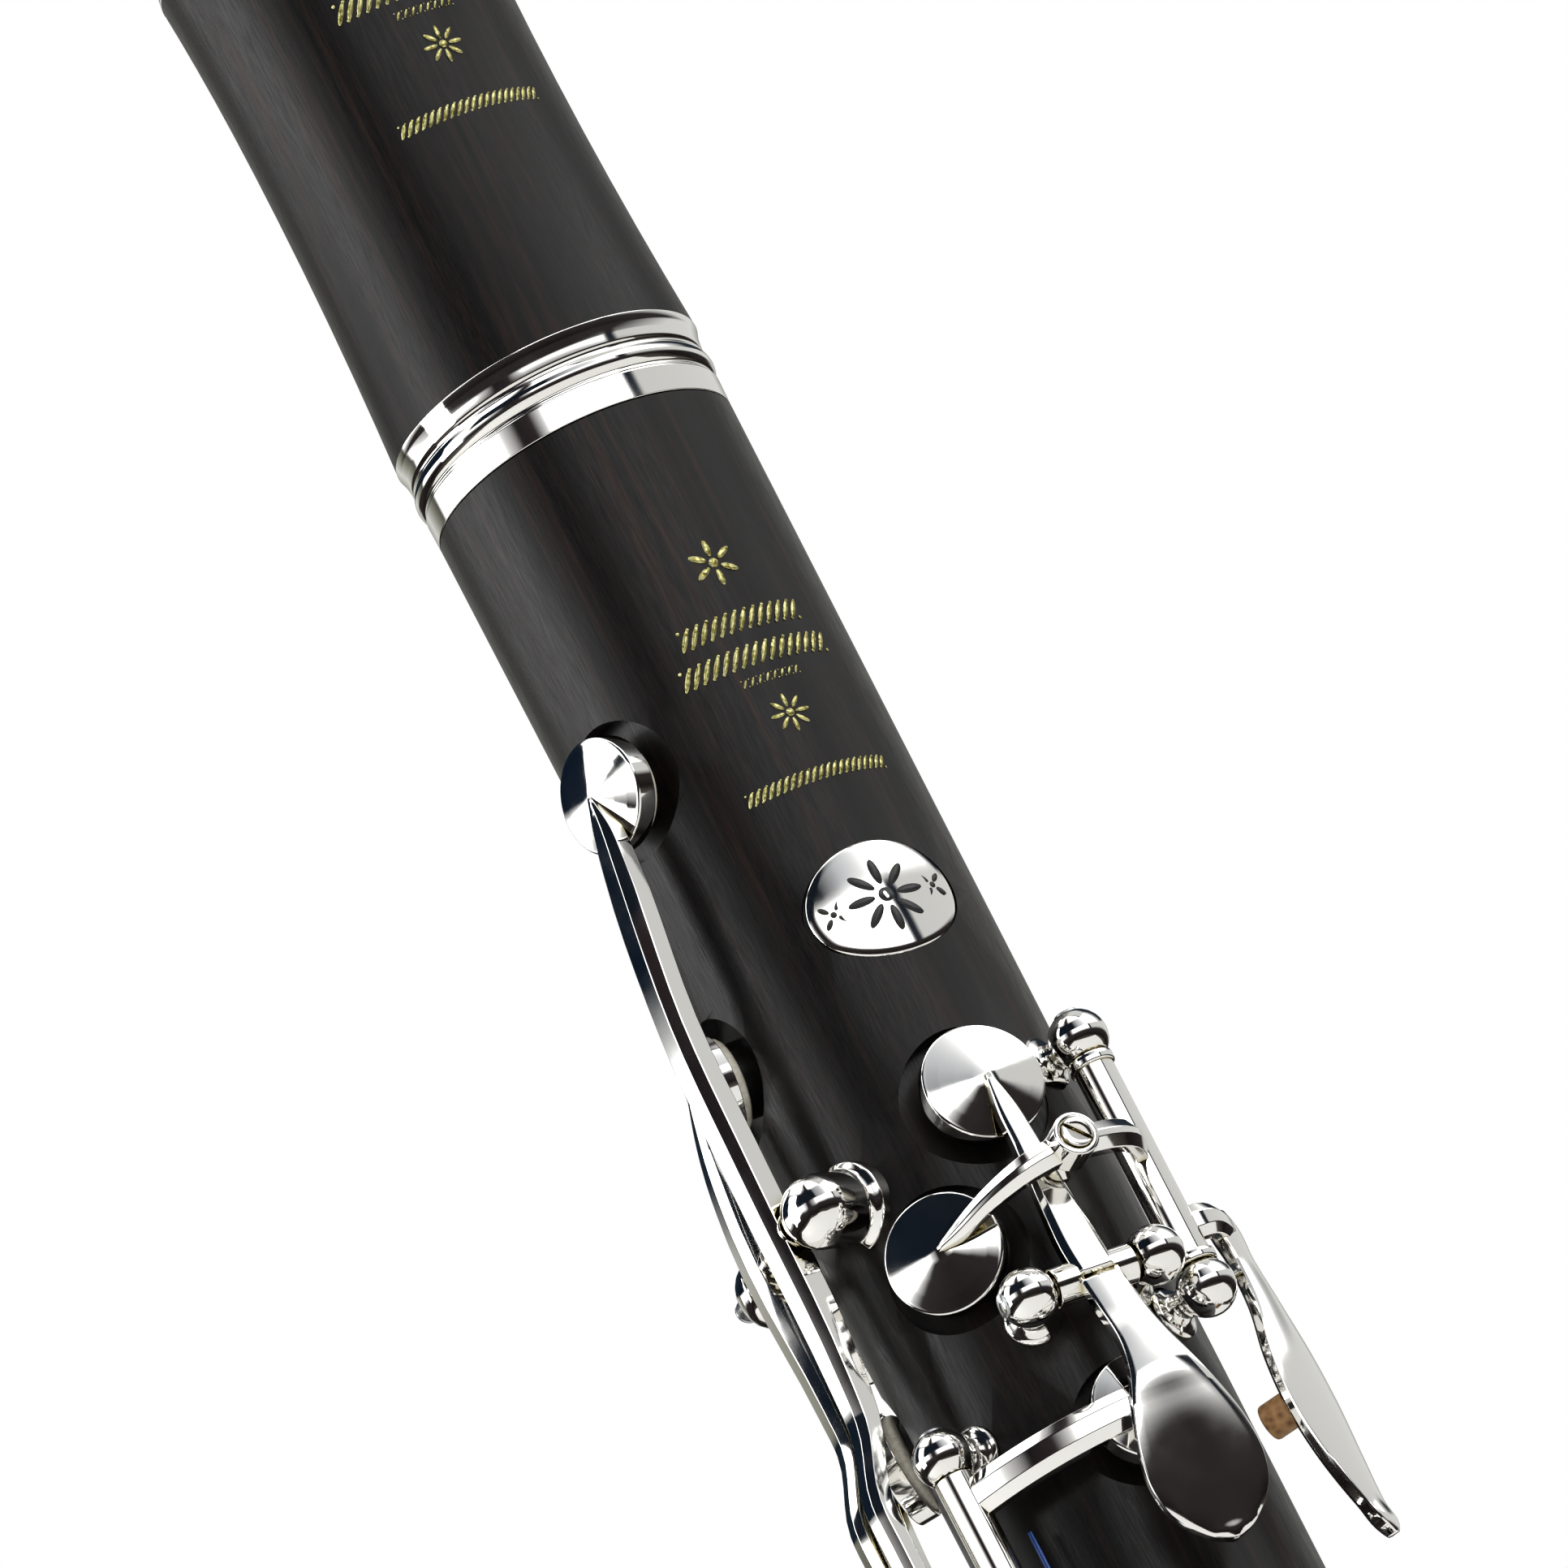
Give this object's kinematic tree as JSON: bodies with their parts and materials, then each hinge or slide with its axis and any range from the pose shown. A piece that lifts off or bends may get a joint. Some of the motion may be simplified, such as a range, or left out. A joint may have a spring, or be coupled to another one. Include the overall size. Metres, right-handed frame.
{
  "type": "clarinet",
  "caption": "Boehm-system soprano clarinet in black hardwood with silver-plated keys, rings and posts; mouthpiece, barrel, two joints and a flared bell, standing upright.",
  "frame": {"origin": "centre of the bell's rim, on the surface that the instrument stands on", "axes": "+Z along the bore towards the mouthpiece, -Y towards the front where the finger holes are, +X to the right of someone facing the front"},
  "size_m": [0.079, 0.079, 0.672],
  "materials": {
    "grenadilla": "oiled and polished",
    "silver_plate": "silver plated, mirror polished",
    "steel": "ground and polished",
    "pad_skin": "thin skin over felt",
    "cork": "sheet cork, greased",
    "ebonite": "polished hard rubber",
    "cane": "scraped cane"
  },
  "bodies": {
    "body": {"hinge_rods": "steel", "needle_springs": "steel", "medallion": "silver_plate", "register_tube": "silver_plate", "upper_posts": "silver_plate", "upper_joint_body": "grenadilla", "tenon_corks": "cork", "lower_posts": "silver_plate", "lower_joint_body": "grenadilla", "thumb_rest": "silver_plate", "thumb_rest_screws": "steel", "socket_ring": "silver_plate", "bell_body": "grenadilla", "bell_rings": "silver_plate"},
    "barrel": {"barrel_body": "grenadilla", "barrel_rings": "silver_plate", "mouthpiece": "ebonite", "mouthpiece_cork": "cork", "reed": "cane", "ligature_band": "silver_plate"},
    "register_key": {"register_key": "silver_plate", "register_pad": "pad_skin"},
    "throat_a_key": {"throat_a_key": "silver_plate", "throat_a_pad": "pad_skin"},
    "throat_g_sharp_key": {"throat_g_sharp_key": "silver_plate", "throat_g_sharp_pad": "pad_skin", "adjusting_screw": "steel"},
    "trill_key_1": {"trill_key_1": "silver_plate", "trill_1_pad": "pad_skin"},
    "trill_key_2": {"trill_key_2": "silver_plate", "trill_2_pad": "pad_skin"},
    "side_key_3": {"side_key_3": "silver_plate", "side_3_pad": "pad_skin"},
    "side_key_4": {"side_key_4": "silver_plate", "side_4_pad": "pad_skin"},
    "first_ring_key": {"first_ring_key": "silver_plate", "first_ring_pad": "pad_skin"},
    "upper_stack_key": {"upper_stack_key": "silver_plate", "upper_stack_pad": "pad_skin"},
    "thumb_ring_key": {"thumb_ring_key": "silver_plate"},
    "upper_sliver_key": {"upper_sliver_key": "silver_plate", "upper_sliver_pad": "pad_skin"},
    "c_sharp_key": {"c_sharp_key": "silver_plate", "c_sharp_pad": "pad_skin"},
    "lower_stack_key": {"lower_stack_key": "silver_plate", "lower_stack_pad": "pad_skin"},
    "lower_sliver_key": {"lower_sliver_key": "silver_plate", "lower_sliver_pad": "pad_skin"},
    "a_flat_key": {"a_flat_key": "silver_plate", "a_flat_pad": "pad_skin"},
    "f_key": {"f_key": "silver_plate", "f_pad": "pad_skin"},
    "f_sharp_key": {"f_sharp_key": "silver_plate", "f_sharp_pad": "pad_skin"},
    "e_key": {"e_key": "silver_plate", "e_pad": "pad_skin"},
    "f_lever": {"f_lever": "silver_plate"},
    "f_sharp_lever": {"f_sharp_lever": "silver_plate"},
    "e_lever": {"e_lever": "silver_plate"},
    "ligature_screw": {"ligature_screw": "silver_plate"}
  },
  "joints": [
    {"name": "tuning_slide", "type": "slide", "parent": "body", "child": "barrel", "axis": [0, 0, 1], "range_m": [0, 0.003]},
    {"name": "register_key_hinge", "type": "hinge", "parent": "body", "child": "register_key", "pos_m": [0, 0.0182, 0.452], "axis": [-1, 0, 0], "range_deg": [0, 4], "stiffness_Nm_per_rad": 0.02, "springref_deg": -8.59},
    {"name": "throat_a_key_hinge", "type": "hinge", "parent": "body", "child": "throat_a_key", "pos_m": [-0.00108, -0.01817, 0.438], "axis": [0.9982, -0.0593, 0], "range_deg": [0, 6], "stiffness_Nm_per_rad": 0.02, "springref_deg": -8.59},
    {"name": "throat_g_sharp_key_hinge", "type": "hinge", "parent": "body", "child": "throat_g_sharp_key", "pos_m": [0.01013, -0.01524, 0.449], "axis": [0, 0, 1], "range_deg": [0, 5.5], "stiffness_Nm_per_rad": 0.02, "springref_deg": -8.59},
    {"name": "trill_key_1_hinge", "type": "hinge", "parent": "body", "child": "trill_key_1", "pos_m": [-0.0185, -0.00032, 0.456], "axis": [0.0175, -0.9998, 0], "range_deg": [0, 2.4], "stiffness_Nm_per_rad": 0.02, "springref_deg": -8.59},
    {"name": "trill_key_2_hinge", "type": "hinge", "parent": "body", "child": "trill_key_2", "pos_m": [-0.0185, -0.00032, 0.456], "axis": [0.0175, -0.9998, 0], "range_deg": [0, 2.4], "stiffness_Nm_per_rad": 0.02, "springref_deg": -8.59},
    {"name": "side_key_3_hinge", "type": "hinge", "parent": "body", "child": "side_key_3", "pos_m": [-0.01484, 0.01001, 0.418], "axis": [-0.5592, -0.829, 0], "range_deg": [0, 3.6], "stiffness_Nm_per_rad": 0.02, "springref_deg": -8.59},
    {"name": "side_key_4_hinge", "type": "hinge", "parent": "body", "child": "side_key_4", "pos_m": [-0.0176, 0.00185, 0.375], "axis": [-0.1045, -0.9945, 0], "range_deg": [0, 4.4], "stiffness_Nm_per_rad": 0.02, "springref_deg": -8.59},
    {"name": "first_ring_key_hinge", "type": "hinge", "parent": "body", "child": "first_ring_key", "pos_m": [-0.01694, -0.00719, 0.41], "axis": [0, 0, 1], "range_deg": [0, 3.4], "stiffness_Nm_per_rad": 0.02, "springref_deg": -8.59},
    {"name": "upper_stack_key_hinge", "type": "hinge", "parent": "body", "child": "upper_stack_key", "pos_m": [-0.01694, -0.00719, 0.368], "axis": [0, 0, 1], "range_deg": [0, 3.4], "stiffness_Nm_per_rad": 0.02, "springref_deg": -8.59},
    {"name": "thumb_ring_key_hinge", "type": "hinge", "parent": "body", "child": "thumb_ring_key", "pos_m": [-0.01151, 0.01371, 0.403], "axis": [0, 0, -1], "range_deg": [0, 4.5], "stiffness_Nm_per_rad": 0.02, "springref_deg": -8.59},
    {"name": "upper_sliver_key_hinge", "type": "hinge", "parent": "body", "child": "upper_sliver_key", "pos_m": [-0.00808, -0.01586, 0.3639], "axis": [0, 0, 1], "range_deg": [0, 6], "stiffness_Nm_per_rad": 0.02, "springref_deg": -8.59},
    {"name": "c_sharp_key_hinge", "type": "hinge", "parent": "body", "child": "c_sharp_key", "pos_m": [0.01598, -0.0085, 0.356], "axis": [0, 0, 1], "range_deg": [0, 6], "stiffness_Nm_per_rad": 0.02, "springref_deg": -8.59},
    {"name": "lower_stack_key_hinge", "type": "hinge", "parent": "body", "child": "lower_stack_key", "pos_m": [-0.01731, -0.00735, 0.281], "axis": [0, 0, 1], "range_deg": [0, 3.4], "stiffness_Nm_per_rad": 0.02, "springref_deg": -8.59},
    {"name": "lower_sliver_key_hinge", "type": "hinge", "parent": "body", "child": "lower_sliver_key", "pos_m": [-0.00808, -0.01586, 0.269], "axis": [0, 0, 1], "range_deg": [0, 6], "stiffness_Nm_per_rad": 0.02, "springref_deg": -8.59},
    {"name": "a_flat_key_hinge", "type": "hinge", "parent": "body", "child": "a_flat_key", "pos_m": [-0.01883, -0.00165, 0.222], "axis": [0.0872, -0.9962, 0], "range_deg": [0, 5], "stiffness_Nm_per_rad": 0.02, "springref_deg": -8.59},
    {"name": "f_key_hinge", "type": "hinge", "parent": "body", "child": "f_key", "pos_m": [0.01603, -0.01001, 0.239], "axis": [0, 0, -1], "range_deg": [0, 4], "stiffness_Nm_per_rad": 0.02, "springref_deg": -8.59},
    {"name": "f_sharp_key_hinge", "type": "hinge", "parent": "body", "child": "f_sharp_key", "pos_m": [0.01891, -0.00333, 0.239], "axis": [0, 0, -1], "range_deg": [0, 4], "stiffness_Nm_per_rad": 0.02, "springref_deg": -8.59},
    {"name": "e_key_hinge", "type": "hinge", "parent": "body", "child": "e_key", "pos_m": [0.01871, 0.00432, 0.239], "axis": [0, 0, -1], "range_deg": [0, 4], "stiffness_Nm_per_rad": 0.02, "springref_deg": -8.59},
    {"name": "f_lever_hinge", "type": "hinge", "parent": "body", "child": "f_lever", "pos_m": [0.0189, 0, 0.262], "axis": [0, -1, 0], "range_deg": [0, 2.6]},
    {"name": "f_sharp_lever_hinge", "type": "hinge", "parent": "body", "child": "f_sharp_lever", "pos_m": [0.0189, 0, 0.262], "axis": [0, -1, 0], "range_deg": [0, 2.6]},
    {"name": "e_lever_hinge", "type": "hinge", "parent": "body", "child": "e_lever", "pos_m": [0.0189, 0, 0.262], "axis": [0, -1, 0], "range_deg": [0, 2.6]},
    {"name": "ligature_screw_hinge", "type": "hinge", "parent": "barrel", "child": "ligature_screw", "pos_m": [0, 0.0162, 0.6225], "axis": [1, 0, 0], "continuous": true}
  ],
  "couplings": [
    {"joint": "f_lever_hinge", "follows": "f_key_hinge", "ratio": 0.65},
    {"joint": "f_sharp_lever_hinge", "follows": "f_sharp_key_hinge", "ratio": 0.65},
    {"joint": "e_lever_hinge", "follows": "e_key_hinge", "ratio": 0.65}
  ]
}
